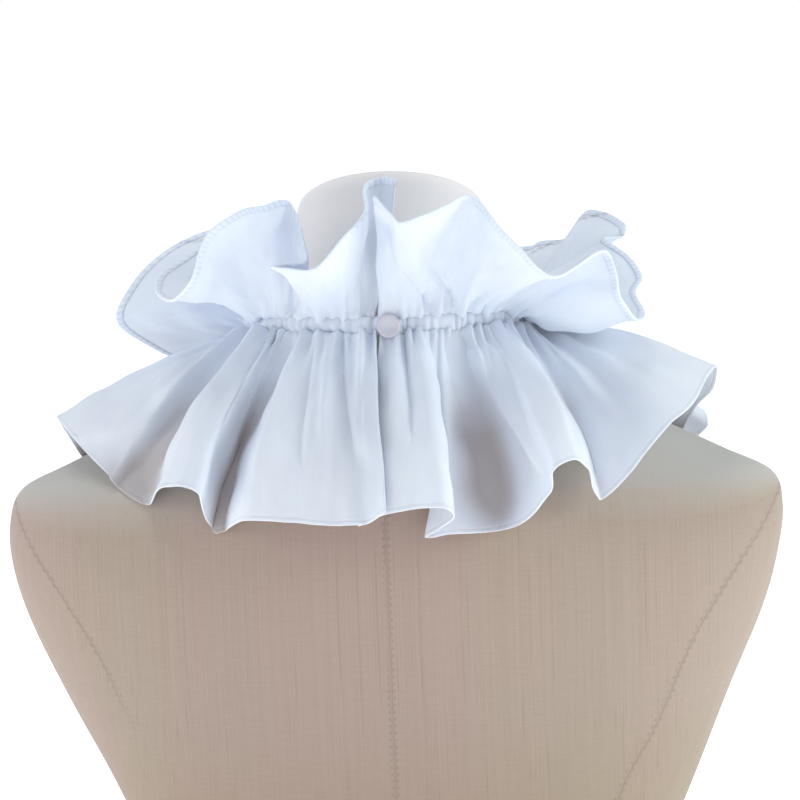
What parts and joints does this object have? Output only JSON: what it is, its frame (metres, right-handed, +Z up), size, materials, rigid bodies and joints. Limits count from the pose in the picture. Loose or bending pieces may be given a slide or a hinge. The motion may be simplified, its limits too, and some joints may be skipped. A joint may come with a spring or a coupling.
{
  "type": "ruffled collar on dress form",
  "caption": "White cotton collar with a standing and a falling gathered ruffle on a narrow band, buttoned at the nape of a limbless linen dress form.",
  "frame": {"origin": "centre of the dress form's flat base, on the floor", "axes": "+Z up, +Y towards the back of the form where the collar buttons, -Y towards its front, +X towards the wearer's left"},
  "size_m": [0.4048, 0.2661, 0.6473],
  "materials": {
    "linen": "slubbed beige linen, matte",
    "cotton": "crisp white cotton, matte",
    "pearl": "translucent white pearl, polished"
  },
  "bodies": {
    "root": {"dress_form": "linen", "neck_band": "cotton", "upper_ruffle": "cotton", "lower_ruffle": "cotton", "button": "pearl"}
  },
  "joints": []
}
